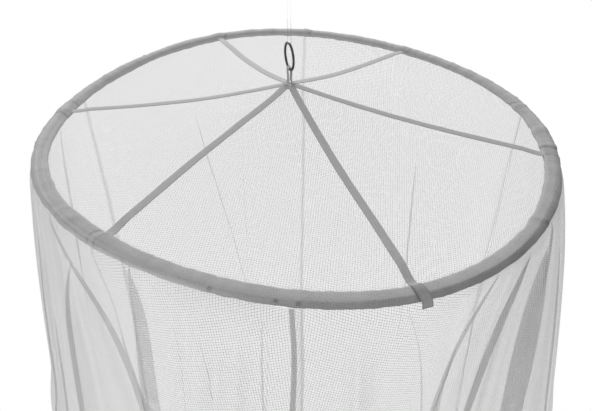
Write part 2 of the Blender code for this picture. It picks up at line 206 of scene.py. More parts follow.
def addFloor():
    height = cadBox[0][2] - studio["floorBelowHem"]
    half = studio["floorHalf"]
    mesh = bpy.data.meshes.new("floor")
    mesh.from_pydata([(x * half, y * half, height) for x, y in ((-1, -1), (1, -1), (1, 1), (-1, 1))], [],
                     [(0, 1, 2, 3)])
    floor = newObject("floor", mesh)
    paint, tree, shader = newMaterial("floor", (0.0, 0.0, 0.0), 1.0)
    fill(shader, {"Specular IOR Level": 0.0, "Emission Color": white, "Emission Strength": 1.0})
    mesh.materials.append(paint)
    # the floor is there to be seen: it throws no light up into the net
    floor.visible_diffuse = False
    floor.visible_glossy = False


addCamera()
addLight()
addFloor()
scene.view_settings.view_transform = "Standard"
scene.cycles.transparent_max_bounces = 32    # many layers of net lie behind one another
print("studio done")


# curves and surfaces shared by several pieces
def addWaves(value, rows, angle):
    for times, cosine, sine in rows:
        value = value + cosine * np.cos(times * angle) + sine * np.sin(times * angle)
    return value


def hoopCurve(angle):
    # radius and height of the rod: a circle plus cosine and sine waves that go round it a few times
    return addWaves(hoopRadius, canopy["radiusWaves"], angle), addWaves(0.0, canopy["heightWaves"], angle)


def hermite(u, step, start, end, startSlope, endSlope):
    # cubic from start to end with the given slopes, at the share u of the step between them
    return (start * (2 * u ** 3 - 3 * u ** 2 + 1) + end * (3 * u ** 2 - 2 * u ** 3)
            + step * (startSlope * (u ** 3 - 2 * u ** 2 + u) + endSlope * (u ** 3 - u ** 2)))


def roundCurve(angle, table):
    # closed curve through (degrees, value) rows: cubic pieces whose slope is zero wherever the values turn
    rows = np.array(sorted(table), float)
    x = np.radians(rows[:, 0])
    y = rows[:, 1]
    x = np.concatenate([x[-2:] - 2 * np.pi, x, x[:3] + 2 * np.pi])
    y = np.concatenate([y[-2:], y, y[:3]])
    step = np.diff(x)
    slope = np.diff(y) / step
    tangent = np.zeros_like(y)
    after = 2 * step[1:] + step[:-1]
    before = step[1:] + 2 * step[:-1]
    same = slope[:-1] * slope[1:] > 0
    first = np.where(same, slope[:-1], 1.0)
    second = np.where(same, slope[1:], 1.0)
    tangent[1:-1] = np.where(same, (after + before) / (after / first + before / second), 0.0)
    angle = np.mod(angle, 2 * np.pi)
    i = np.clip(np.searchsorted(x, angle, side="right") - 1, 0, len(x) - 2)
    return hermite((angle - x[i]) / step[i], step[i], y[i], y[i + 1], tangent[i], tangent[i + 1])


def angleFrom(angle, centre):
    # radians from one angle to another by the shorter way round, positive anticlockwise
    return np.mod(angle - centre + np.pi, 2 * np.pi) - np.pi


def alongHoop(angle, degrees):
    return angleFrom(angle, math.radians(degrees)) * hoopRadius


def circle(count):
    return np.linspace(0.0, 2 * np.pi, count, endpoint=False)


def polar(out, angle, height):
    # the point at a distance from the hoop's axis, an angle round it and a height
    return np.stack([out * np.cos(angle), out * np.sin(angle), height], -1)


def bell(x):
    # 1 at zero, falling to 0 on both sides
    return np.exp(-x ** 2)


def ease(depth, reach):
    # rises from 0 with slope 1 and levels off at reach
    return reach * (1 - np.exp(-depth / reach))


def waves(x, y, seed, count=7):
    # a smooth uneven surface, mostly between -1 and 1: sine waves in scattered directions, added and scaled
    pick = np.random.default_rng(seed)
    total = 0.0
    for heading, size, start in pick.uniform((0.0, 0.5, 0.0), (2 * np.pi, 1.6, 2 * np.pi), (count, 3)):
        total += np.sin(size * (x * np.cos(heading) + y * np.sin(heading)) + start)
    return total / math.sqrt(count)


def unit(vectors):
    return vectors / np.linalg.norm(vectors, axis=-1, keepdims=True)


def lengthAlong(points):
    # distance from the first point along each line of points
    steps = np.linalg.norm(np.diff(points, axis=-2), axis=-1)
    return np.concatenate([np.zeros_like(steps[..., :1]), np.cumsum(steps, axis=-1)], -1)


def turnFlat(u, v, cosine, sine):
    # flat coordinates turned by the angle that has this cosine and sine
    return np.stack([u * cosine + v * sine, v * cosine - u * sine], -1)


def sewnLayers(densityAndShade, inside, rows):
    # at least the given amount wherever the distance inside lies between a row's first two numbers
    for low, high, amount in rows:
        densityAndShade = np.maximum(densityAndShade, amount * ((inside > low) & (inside < high)))
    return densityAndShade


def closeEnds(points, keep):
    # one more section at each end, drawn in towards its middle to this share of its size
    ends = points[[0, -1]]
    ends = ends.mean(axis=1, keepdims=True) * (1 - keep) + ends * keep
    return np.concatenate([ends[:1], points, ends[1:]])


def addValues(mesh, name, values):
    layer = mesh.attributes.new(name, "FLOAT", "POINT")
    layer.data.foreach_set("value", np.asarray(values, np.float32).ravel())


def gridPiece(name, points, material, flat=None, densityAndShade=None, closed=(False, False)):
    # one smooth mesh over rows x columns of points, joined end to end along the closed directions
    rows, columns = points.shape[:2]
    i, j = np.indices((rows if closed[0] else rows - 1, columns if closed[1] else columns - 1)).reshape(2, -1)
    nextI = (i + 1) % rows
    nextJ = (j + 1) % columns
    faces = np.stack([i * columns + j, i * columns + nextJ, nextI * columns + nextJ, nextI * columns + j], -1)
    mesh = bpy.data.meshes.new(name)
    mesh.from_pydata((points.reshape(-1, 3) + hoopCentre).tolist(), [], faces.tolist())
    mesh.polygons.foreach_set("use_smooth", np.ones(len(faces), bool))
    if flat is not None:
        # a closed direction's last faces run on past the end, so that the weave has no jump there
        layer = mesh.uv_layers.new(name="cloth")
        wide = np.stack([i, i, i + 1, i + 1], -1)
        long = np.stack([j, j + 1, j + 1, j], -1)
        layer.data.foreach_set("uv", flat(wide, long).astype(np.float32).ravel())
    if densityAndShade is not None:
        addValues(mesh, "densityAndShade", densityAndShade)
    mesh.materials.append(material)
    return newObject(name, mesh)


def tubePoints(middle, radius, sides, closed=False):
    # circles of the given radius round a line, each square to it, without twist between one and the next
    if closed:
        ahead = unit(np.roll(middle, -1, axis=0) - np.roll(middle, 1, axis=0))
    else:
        ahead = unit(np.gradient(middle, axis=0))
    side = np.cross(ahead[0], (0.31, 0.87, 0.38))    # any direction off the line will do to start with
    first = []
    for direction in ahead:
        side = side - direction * np.dot(side, direction)
        side = side / np.linalg.norm(side)
        first.append(side)
    first = np.array(first)
    second = np.cross(ahead, first)
    turn = circle(sides)[None, :, None]
    size = np.broadcast_to(radius, (len(middle),))[:, None, None]
    return middle[:, None, :] + size * (np.cos(turn) * first[:, None, :] + np.sin(turn) * second[:, None, :])


# net
net = {
    "pitch": 0.00245,
    "thread": 0.00027,
    "soft": 0.035,    # blur of a thread's edges, as a share of the pitch
    "colour": (0.86, 0.86, 0.86),
    "opacity": 0.97,
    "wobble": 0.0007,    # how far threads stray, over stretches of wobbleSize
    "wobbleSize": 0.05,
    "secondPitch": 0.93,    # the layer behind, against the first
    "secondThread": 1.6,
    "secondTurn": 17.0,
}


def clothPlace(tree, wobble, wobbleSize):
    # the cloth's own flat coordinates, bent a little so that no thread runs quite straight
    place = flatPlace(tree)
    noise = noiseTexture(place, 1.0 / wobbleSize, 2.0, "Color")
    inputs = {0: noise, 1: (wobble, wobble, 0.0), 2: place}
    return addNode("ShaderNodeVectorMath", inputs, "MULTIPLY_ADD").outputs[0]


def threadGrid(place, pitch, thread, soft, turn=0.0):
    # 1 on the threads of a square mesh and 0 in its holes
    scale = (1.0 / pitch, 1.0 / pitch, 1.0)
    inputs = {"Vector": place, "Rotation": (0.0, 0.0, math.radians(turn)), "Scale": scale}
    spin = addNode("ShaderNodeMapping", inputs).outputs[0]
    apart = addNode("ShaderNodeSeparateXYZ", {0: spin})
    start = 0.5 - thread / pitch / 2
    threads = []
    for axis in range(2):
        fromMiddle = calc("ABSOLUTE", calc("SUBTRACT", calc("FRACT", apart.outputs[axis]), 0.5))
        threads.append(remap(fromMiddle, start - soft, start + soft, 0.0, 1.0, "SMOOTHSTEP"))
    return calc("MAXIMUM", *threads)


def netMaterial():
    # knotless knitted mesh: thin white threads with open holes, which "dense" closes where cloth is doubled
    material, tree, shader = newMaterial("net", net["colour"], 0.8)
    place = clothPlace(tree, net["wobble"], net["wobbleSize"])
    mesh = threadGrid(place, net["pitch"], net["thread"], net["soft"])
    # a second layer of the same mesh, turned and shifted, shows only where the cloth is doubled
    second = threadGrid(place, net["pitch"] * net["secondPitch"], net["thread"] * net["secondThread"],
                        net["soft"], net["secondTurn"])
    more = calc("MULTIPLY_ADD", second, 0.45, 0.70)
    more = calc("MINIMUM", calc("MULTIPLY", attributeValue(tree, "densityAndShade"), more), 1.0)
    hole = calc("MULTIPLY", calc("SUBTRACT", 1.0, mesh), calc("SUBTRACT", 1.0, more))
    cover = calc("MULTIPLY", calc("SUBTRACT", 1.0, hole), net["opacity"])
    fill(shader, {"Alpha": cover, "Sheen Weight": 0.15, "Sheen Roughness": 0.5})
    material.surface_render_method = "DITHERED"
    return material


netCloth = netMaterial()

# skirt
skirt = {
    "length": 2.150,
    "stretch": 1.14,    # its own weight draws the mesh longer than wide
    "startBelow": 0.0026,    # its top edge is sewn to the casing's lower outer side
    "startOut": 0.0078,
    "hangOut": 0.0107,
    "swingReach": 0.45,
    "flare": 0.10,
    "lateStart": 0.35,
    "bellyReach": 0.05,
    "billowStart": 0.36,
    "columnSpacing": 0.85,
    "edgeColumns": (0.0002, 0.0022, 0.0044, 0.0050, 0.0060, 0.0078, 0.0096, 0.0102, 0.0108),
    "foldColumns": (0.25, 0.5, 0.8, 1.1, 1.4, 1.8, 2.3, 3.0),    # from a fold's middle, by its reach
    # name, node, seams or edges at both ends, turn of the weave against the drop
    "panels": (
        ("FrontLeft", "skirt_front_left", 232, 269.55, "seam", "door", -21),
        ("FrontRight", "skirt_front_right", 268.75, 304, "underDoor", "seam", 17),
        ("Right", "skirt_right", 304, 372.5, "seam", "seam", 8),
        ("BackRight", "skirt_back_right", 12.5, 88, "seam", "seam", 5),
        ("BackLeft", "skirt_back_left", 88, 163, "seam", "seam", 5),
        ("Left", "skirt_left", 163, 232, "seam", "seam", -9),
    ),
    # how high a seam and the door's lap stand out, and how wide
    "seamLift": (0.0012, 0.003),
    "doorLift": (0.0016, 0.022),
    # how dense the sewn layers look along each kind of edge: from and to this far inside it, amount
    "layers": {
        "seam": ((-1.0, 0.0024, 0.17), (-1.0, 0.0007, 0.42)),
        "door": ((-1.0, 0.0048, 0.74),),
        "underDoor": ((-1.0, 0.0105, 0.17), (0.0096, 0.0105, 0.34)),
        "hem": ((-1.0, 0.018, 0.45),),
    },
    # hoop angle, outward slope of the cloth just under the casing
    "swing": (
        (0, 0.17), (14, 0.02), (30, 0.15), (44, 0), (58, 0.15), (73, 0), (88, 0.1), (103, -0.02),
        (118, 0.15), (132, 0), (146, 0.13), (160, -0.03), (174, 0.16), (186, 0.1), (199, 0.225),
        (212, 0.19), (219, 0.13), (229, -0.09), (240, 0.1), (252, 0.24), (270, 0.3), (290, 0.2),
        (300, 0.02), (307, -0.16), (314, -0.03), (323, 0.06), (334, 0.28), (345, 0.285),
    ),
    # hoop angle, extra slope of the flutes that only open far below the casing
    "late": (
        (0, -0.03), (9, 0.03), (20, -0.02), (30, 0.02), (44, -0.02), (58, 0.01), (66, 0.03), (74, -0.03),
        (88, 0.02), (96, -0.03), (108, 0.02), (118, -0.03), (126, 0.01), (140, 0.03), (151, -0.02),
        (160, 0.02), (174, -0.02), (184, 0.02), (192, -0.04), (200, 0.03), (206, -0.05), (213, 0.03),
        (229, 0.02), (238, -0.02), (250, 0.03), (258, -0.06), (267, 0.03), (273, 0.03), (282, -0.055),
        (291, 0.03), (298, -0.01), (307, 0.03), (318, -0.02), (328, 0.03), (337, -0.055), (346, 0.03),
    ),
    # hoop angle, how far the cloth stands out just below the casing
    "belly": (
        (0, 0), (180, 0), (196, 0.0006), (210, 0.0008), (222, 0), (270, 0), (316, 0),
        (328, 0.0032), (338, 0.004), (348, 0.0028), (356, 0),
    ),
    # hoop angle, how much further it stands out from billowStart down
    "billow": (
        (0, 0), (182, 0), (194, 0.0095), (208, 0.0105), (218, 0.003), (226, 0), (270, 0), (318, 0),
        (330, 0.0045), (342, 0.0045), (354, 0),
    ),
    # folds where the cloth lies over itself: hoop angle at the top and far below, depth over which it drifts,
    # depth where it starts, depth over which it opens, width of the lap, how far it stands in and out, depth
    # where it is gone, and 1 or -1 for the side that lies outside
    "folds": (
        (174, 174, 0.2, 0.02, 0.03, 0.002, 0.0018, 0.3, 1),
        (209.5, 207.5, 0.2, 0.04, 0.14, 0.0026, 0.0017, 1.2, -1),
        (214.5, 213, 0.2, 0.16, 0.08, 0.003, 0.0022, 0.9, -1),
        (230, 217.8, 0.055, 0.04, 0.09, 0.0044, 0.0042, 1.4, -1),
        (217.5, 229.6, 0.088, 0, 0.06, 0.0055, 0.0036, 1.5, -1),
        (240.6, 243.8, 0.3, 0, 0.045, 0.0138, 0.004, 1.2, -1),
        (246, 252, 0.08, 0.03, 0.05, 0.0008, 0.0006, 0.5, -1),
        (249, 258, 0.08, 0.03, 0.05, 0.0008, 0.0006, 0.5, -1),
        (264.9, 264.9, 0.2, 0.01, 0.04, 0.0008, 0.0005, 0.8, -1),
        (288.2, 294, 0.09, 0, 0.03, 0.0012, 0.0008, 0.4, 1),
        (308.3, 305.6, 0.12, 0, 0.04, 0.0026, 0.0017, 0.9, 1),
        (319, 313.2, 0.12, 0.01, 0.05, 0.006, 0.0044, 1.1, 1),
        (326.6, 325.2, 0.1, 0.03, 0.11, 0.016, 0.021, 1.4, 1),
        (327.8, 326.8, 0.1, 0, 0.02, 0.0026, 0.0024, 0.12, 1),
        (332.5, 331.5, 0.2, 0.04, 0.1, 0.005, 0.0024, 0.9, 1),
        (33, 25, 0.25, 0.18, 0.05, 0.0025, 0.0019, 0.6, 1),
        (50, 44, 0.3, 0.2, 0.05, 0.0025, 0.0019, 0.6, -1),
        (131, 92, 0.85, 0.14, 0.05, 0.002, 0.0016, 0.75, 1),
        (110.8, 108.5, 0.6, 0.2, 0.08, 0.0022, 0.0017, 0.8, -1),
        (104, 106, 0.6, 0.75, 0.3, 0.012, 0.005, 1.8, 1),
    ),
    # soft streaks of gathered cloth: hoop angle at the top and far below, half width, start depth, amount
    "streaks": (
        (190, 188, 0.007, 0.03, 0.1), (197, 195, 0.006, 0.06, 0.1), (207, 203, 0.007, 0, 0.1),
        (214, 210, 0.006, 0.05, 0.08), (221, 220.3, 0.004, 0.12, 0.12), (222.6, 223, 0.003, 0.08, 0.1),
        (224, 226.5, 0.004, 0.06, 0.12), (256.5, 255, 0.01, 0.06, 0.06), (262, 258.5, 0.011, 0.05, 0.07),
        (278.5, 281.5, 0.016, 0.04, 0.05), (284, 277, 0.009, 0.05, 0.05), (297, 300, 0.012, 0.05, 0.04),
        (318.5, 314.5, 0.012, 0, 0.1), (338, 337, 0.008, 0.02, 0.09), (345, 344.5, 0.006, 0.05, 0.09),
        (351, 350, 0.006, 0.05, 0.08),
    ),
    # how densely it is gathered: hoop angles, amounts, and further amounts close under the casing
    "gatherAngles": (0, 18, 168, 200, 225, 245, 252, 262, 272, 290, 300, 315, 345, 360),
    "gatherSide": (0.11, 0, 0, 0.26, 0.12, 0, 0, 0, 0, 0, 0.02, 0.26, 0.35, 0.11),
    "gatherTop": (0.15, 0.08, 0.08, 0.1, 0.1, 0.1, 0.22, 0.2, 0, 0, 0.22, 0.38, 0.3, 0.15),
    # drawn wrinkles, mostly upright: height, depth over which they grow, waves round and down per metre, seed
    "wrinkles": ((0.0011, 0.3, 1 / 0.009, 9.0, 5), (0.0030, 0.8, 1 / 0.026, 4.0, 6)),
}


def foldLap(row, depth):
    # width of the lap, how far it stands in and out, and the fold's own hoop angle (radians), at each depth
    top, low, drift, start, opening, wide, deep, gone, way = row
    grown = (1 - np.exp(-np.maximum(depth - start, 0.0) / opening)) / (1 + np.exp((depth - gone) / 0.07))
    return wide * grown, way * deep * grown, np.radians(top + (low - top) * (1 - np.exp(-depth / drift)))


def skirtPoint(angle, depth):
    # a line drops from each angle of the hoop, leaning out by the swing table, then by the steady flare and
    # the late flutes. At a fold the cloth slides sideways by an S-shaped curve wide enough to lie over
    # itself, and moves in and out by the same curve, so that its layers stay apart
    radius, height = hoopCurve(angle)
    near = ease(depth, skirt["swingReach"])
    below = np.maximum(depth - skirt["lateStart"], 0.0)
    out = radius + skirt["hangOut"] + roundCurve(angle, skirt["swing"]) * near
    out += skirt["flare"] * (depth - near)
    out += roundCurve(angle, skirt["late"]) * below ** 2 / (below + 0.4)
    out += roundCurve(angle, skirt["belly"]) * (1 - np.exp(-depth / skirt["bellyReach"]))
    out += roundCurve(angle, skirt["billow"]) / (1 + np.exp((skirt["billowStart"] - depth) / 0.018))
    out -= (skirt["hangOut"] - skirt["startOut"]) * bell(depth / 0.006)
    turned = angle
    for row in skirt["folds"]:
        lap, deep, centre = foldLap(row, depth)
        t = angleFrom(angle, centre) * radius / np.maximum(lap / 2.2, 1e-4)
        slide = 1.6487 * t * np.exp(-t * t / 2)    # the S-shaped curve, 1 at its top
        turned = turned - 0.91 * lap * slide / out
        out -= deep * slide
    # the whole drop wanders sideways a little, seams and all
    turned = turned + 0.0016 * np.minimum(depth / 0.03, 1.0) * waves(depth * 30.0, angle * 2.0, 71) / out
    around = angle * hoopRadius
    for rise, grow, across, down, seed in skirt["wrinkles"]:
        out += rise * ease(depth, grow) / grow * waves(around * across, depth * down, seed)
    drop = height - depth - skirt["startBelow"] * np.exp(-depth / 0.004)
    return polar(out, turned, drop)


def gathered(angle, depth):
    # how densely the cloth is gathered: bell-shaped streaks that drift as folds do, all in fine upright lines
    span = np.mod(np.degrees(angle), 360.0)
    fine = 1 + 0.55 * waves(angle * 210.0, depth * 3.0, 61)
    side = np.interp(span, skirt["gatherAngles"], skirt["gatherSide"]) * (0.3 + 0.7 * np.exp(-depth / 0.5))
    total = np.interp(span, skirt["gatherAngles"], skirt["gatherTop"]) * np.exp(-depth / 0.012)
    total += side * (0.6 + 0.4 * fine)
    for top, low, half, start, amount in skirt["streaks"]:
        centre = np.radians(top + (low - top) * (1 - np.exp(-depth / 0.20)))
        away = angleFrom(angle, centre) * hoopRadius
        begun = np.clip((depth - start) / 0.05 + 0.3, 0.0, 1.0)
        total += amount * bell(away / half) * begun * np.clip(fine, 0.1, 2.0)
    return np.clip(total, 0.0, 0.6)


def panelColumns(first, last, depth):
    # hoop angles across a panel at every depth: even ones, and close ones that follow each fold and edge
    edges = np.radians([first, last])
    middle = edges.mean()
    count = int(math.ceil((last - first) / skirt["columnSpacing"]))
    margins = np.array(skirt["edgeColumns"]) / hoopRadius
    fixed = np.concatenate([np.linspace(*edges, count + 1), edges[0] + margins, edges[1] - margins])
    columns = [np.repeat(fixed[None, :], len(depth), axis=0)]
    half = np.array(skirt["foldColumns"])
    steps = np.concatenate([-half, [0.0], half])
    for row in skirt["folds"]:
        lap, deep, centre = foldLap(row, depth)
        centre = angleFrom(centre, middle) + middle
        reach = np.maximum(lap / 2.2, 0.0005)[:, None] / hoopRadius
        columns.append(centre[:, None] + steps[None, :] * reach)
    columns = np.concatenate(columns, axis=1)
    inside = ((columns >= edges[0] - 1e-9) & (columns <= edges[1] + 1e-9)).all(axis=0)
    return np.sort(columns[:, inside], axis=1)


def skirtRows():
    # close rows near the casing and at the hem, wide ones between
    length = skirt["length"]
    spans = ((0.0, 0.018, 8), (0.022, 0.50, 104), (0.507, 1.0, 52), (1.012, length - 0.03, 84))
    return np.concatenate([np.linspace(*span) for span in spans]
                          + [length - np.array([0.0225, 0.0185, 0.0175, 0.004, 0.0])])


def buildPanel(name, first, last, firstEdge, lastEdge, grain):
    # the skirt's points over hoop angle and depth, with bell-shaped ridges along the seams and the door's lap
    depth = skirtRows()
    angle = panelColumns(first, last, depth)
    down = np.repeat(depth[:, None], angle.shape[1], axis=1)
    points = skirtPoint(angle, down)
    outward = unit(points * (1.0, 1.0, 0.0))
    densityAndShade = gathered(angle, down)
    ripple = 1 + 0.5 * waves(down * 90.0, 0.0, 11)
    # distance from each edge, measured on the hoop
    fromFirst = (angle - math.radians(first)) * hoopRadius
    fromLast = (math.radians(last) - angle) * hoopRadius
    for inside, edge in ((fromFirst, firstEdge), (fromLast, lastEdge), (skirt["length"] - down, "hem")):
        if edge == "seam":
            rise, width = skirt["seamLift"]
            points = points + outward * (rise * bell(inside / width) * ripple)[..., None]
        if edge == "door":
            rise, width = skirt["doorLift"]
            points = points + outward * (rise * (1 + 1.5 * down) * bell(inside / width))[..., None]
        densityAndShade = sewnLayers(densityAndShade, inside, skirt["layers"][edge])
    # flat coordinates: along each row through all its folds, and down the drop, then turned to the grain
    across = lengthAlong(points)
    across -= across[:, -1:] / 2
    drop = down / skirt["stretch"]
    cosine = math.cos(math.radians(grain))
    sine = math.sin(math.radians(grain))

    def flat(row, column):
        return turnFlat(across[row, column], drop[row, column], cosine, sine)

    piece = gridPiece("skirt" + name, points, netCloth, flat, densityAndShade)
    # its area is two triangles for each face
    right = np.diff(points, axis=1)
    below = np.diff(points, axis=0)
    halves = ((right[:-1], below[:, :-1]), (right[1:], below[:, 1:]))
    area = sum(np.linalg.norm(np.cross(*half), axis=2).sum() / 2 for half in halves)
    return piece, area, across[-1, -1] * 2


def buildSkirt():
    for name, node, *cut in skirt["panels"]:
        piece, area, hem = buildPanel(name, *cut)
        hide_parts(node)
        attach(piece, "root")
        print("skirt panel", name, "hem %.3f area %.3f" % (hem, area))


buildSkirt()
print("skirt done")

# cap: one round piece of net, pulled into a shallow cone by the ring
cap = {
    "sag": 0.0055,
    "edgeIn": 0.0006,
    "edgeUp": 0.0014,
    "wrinkle": 0.0006,
    "grain": 7.0,
    "rings": 64,
    "columns": 300,
    # sewn layers at the peak and at the casing: from and to this share of the way, amount
    "layers": ((-1.0, 0.030, 1.1), (0.992, 2.0, 0.15)),
}


def capPoint(part, angle):
    # straight from the peak (part 0) to the casing (part 1), sagging between, more so near the peak
    radius, height = hoopCurve(angle)
    edge = polar(radius - canopy["casingHalfWidth"] + cap["edgeIn"], angle, height + cap["edgeUp"])
    points = peak + part[..., None] * (edge - peak)
    points[..., 2] -= cap["sag"] * 4 * part * (1 - part) * (1.35 - 0.7 * part)
    return points


def buildCap():
    part = np.concatenate([np.linspace(0.0005, 0.05, 9), np.linspace(0.065, 1.0, cap["rings"])])
    part, angle = np.meshgrid(part, circle(cap["columns"]), indexing="ij")
    points = capPoint(part, angle)
    # faint wrinkles, none at the peak and at the edge
    faint = waves(points[..., 0] * 60, points[..., 1] * 60, 21)
    points[..., 2] += cap["wrinkle"] * np.sqrt(part * (1 - part)) * faint
    turn = math.radians(cap["grain"])

    def flat(row, column):
        place = points[row, column % cap["columns"]]
        return turnFlat(place[..., 0], place[..., 1], math.cos(turn), -math.sin(turn))

    densityAndShade = sewnLayers(np.zeros_like(part), part, cap["layers"])
    piece = gridPiece("capNet", points, netCloth, flat, densityAndShade, (False, True))
    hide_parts("cap")
    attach(piece, "root")


buildCap()
print("cap done")

# casing: a sleeve of the same net, several layers thick, round the hoop
casing = {
    "columns": 1300,
    "sides": 34,
    "colour": (0.885, 0.885, 0.885),
    "gapColour": (0.33, 0.33, 0.33),
    "corner": 0.9,    # below 1 fills out the corners of its oval section
    "clothWidth": 0.046,
    "weave": (0.92, 0.39),    # cosine and sine of its turn
    # the stitched edge, low on the outer side: place round the section, depth, half width (radians), stitch
    "seamAt": -34.0,
    "seamPinch": 0.0007,
    "seamHalf": 0.20,
    "stitch": 0.0032,
    # wrinkles: height, waves along the hoop and round the section per metre, seed
    "wrinkles": ((0.00016, 900, 260, 31), (0.00024, 240, 150, 32), (0.00035, 60, 90, 33)),
    # tape ends, seam ends and puffs of cloth: hoop angle, rise, half length along the hoop
    "lumps": (
        (11, 0.0012, 0.005), (55, 0.0014, 0.01), (87.5, 0.001, 0.004), (116, 0.0014, 0.01),
        (174, 0.0016, 0.009), (224, 0.0016, 0.008), (232.5, 0.0017, 0.007), (304, 0.0005, 0.004),
        (325.5, 0.001, 0.004), (351.5, 0.0012, 0.01), (359, 0.0014, 0.016),
    ),
    # ends of cloth over one another: hoop angle, height of the edge, 1 or -1 for the side that lies on top
    "laps": (
        (13, 0.0006, 1), (53, 0.0007, -1), (86.5, 0.0006, 1), (114.5, 0.0007, 1), (171, 0.0007, 1),
        (176.5, 0.0006, -1), (221.5, 0.0012, 1), (231.2, 0.0009, -1), (233.6, 0.0008, 1),
        (349, 0.0006, -1), (352.3, 0.0008, 1),
    ),
    # hoop angles of the small knots of sewing thread, their place round the section from the stitched edge
    # (radians), rise, half length along the hoop and half width round the section (radians)
    "knots": (255.5, 266.5, 270.2, 325.5, 15, 62, 140, 190),
    "knotAt": 1.20,
    "knotRise": 0.0012,
    "knotHalfLength": 0.0021,
    "knotHalfWidth": 0.34,
    # the doubled band along the outer side: hoop angles, its upper edge above level, its darkness at that
    # edge (the doubled cloth's own darker tone, with painted shade added), its painted shade at the bottom
    # (painted light where below zero, to offset the underside's shade), and how much light comes through it
    "bandAngles": (0, 40, 150, 200, 225, 235, 250, 270, 285, 300, 315, 340, 360),
    "bandEdges": (60, 50, 50, 66, 48, 47, 60, 64, 64, 65, 70, 84, 80),
    "bandDark": (0, 0, 0, 0, 0, 0, 0.04, 0.18, 0.44, 0.64, 0.75, 0.2, 0.1),
    "bandBottomPaintedShadeAndLight": (0.2, 0, -0.2, -0.4, -0.4, -0.4, -0.4, -0.15, 0.06, 0.3, 0.6, 0.5, 0.2),
    "bandThin": (0.1, 0.2, 0.2, 0.7, 0.78, 0.78, 0.66, 0.15, 0, 0, 0, 0, 0),
    # painted light: the sides above the band are painted lighter than the top, to offset their shade: place
    # of the darker top round the section, its half width, and by how much
    "topAt": 125.0,
    "topHalf": 45.0,
    "sidesPaintedLighter": 0.38,
    "thinTop": 0.12,    # how much light comes through above the band
}


def powered(x, power):
    # the size of x to a power, with the sign of x
    return np.sign(x) * np.abs(x) ** power


def casingMaterial():
    # two layers of the net's mesh over each other with cloudy patches, darker in the gaps, with painted shade
    # in creases and painted light on the sides
    material, tree, shader = newMaterial("casingCloth", casing["colour"], 0.85)
    place = clothPlace(tree, 0.0020, 0.03)
    outer = threadGrid(place, net["pitch"], net["thread"] * 1.2, 0.05)
    inner = threadGrid(place, net["pitch"] * 0.96, net["thread"] * 1.8, 0.09, 31.0)
    cover = calc("MULTIPLY_ADD", outer, 0.10, calc("MULTIPLY_ADD", inner, 0.16, 0.06))
    for size, amount in ((55.0, 0.45), (620.0, 0.85)):
        cover = calc("MULTIPLY_ADD", noiseTexture(place, size, 3.0), amount, cover)
    # the attribute carries painted shade in the creases beside laps and at knots, the doubled band at the
    # stitched edge (its own darker tone with painted shade), and painted light that makes the sides lighter
    cover = calc("SUBTRACT", cover, calc("MULTIPLY", attributeValue(tree, "densityAndShade"), 0.9))
    colour = colourMix(tree, "MIX", cover, (*casing["gapColour"], 1.0), (*casing["colour"], 1.0))
    # a little light comes through where the layers of net are few
    solid = calc("SUBTRACT", 1.0, attributeValue(tree, "thin"))
    fill(shader, {"Base Color": colour, "Alpha": solid})
    addBump(shader, cover, 0.35, 0.0004)
    material.surface_render_method = "DITHERED"
    return material


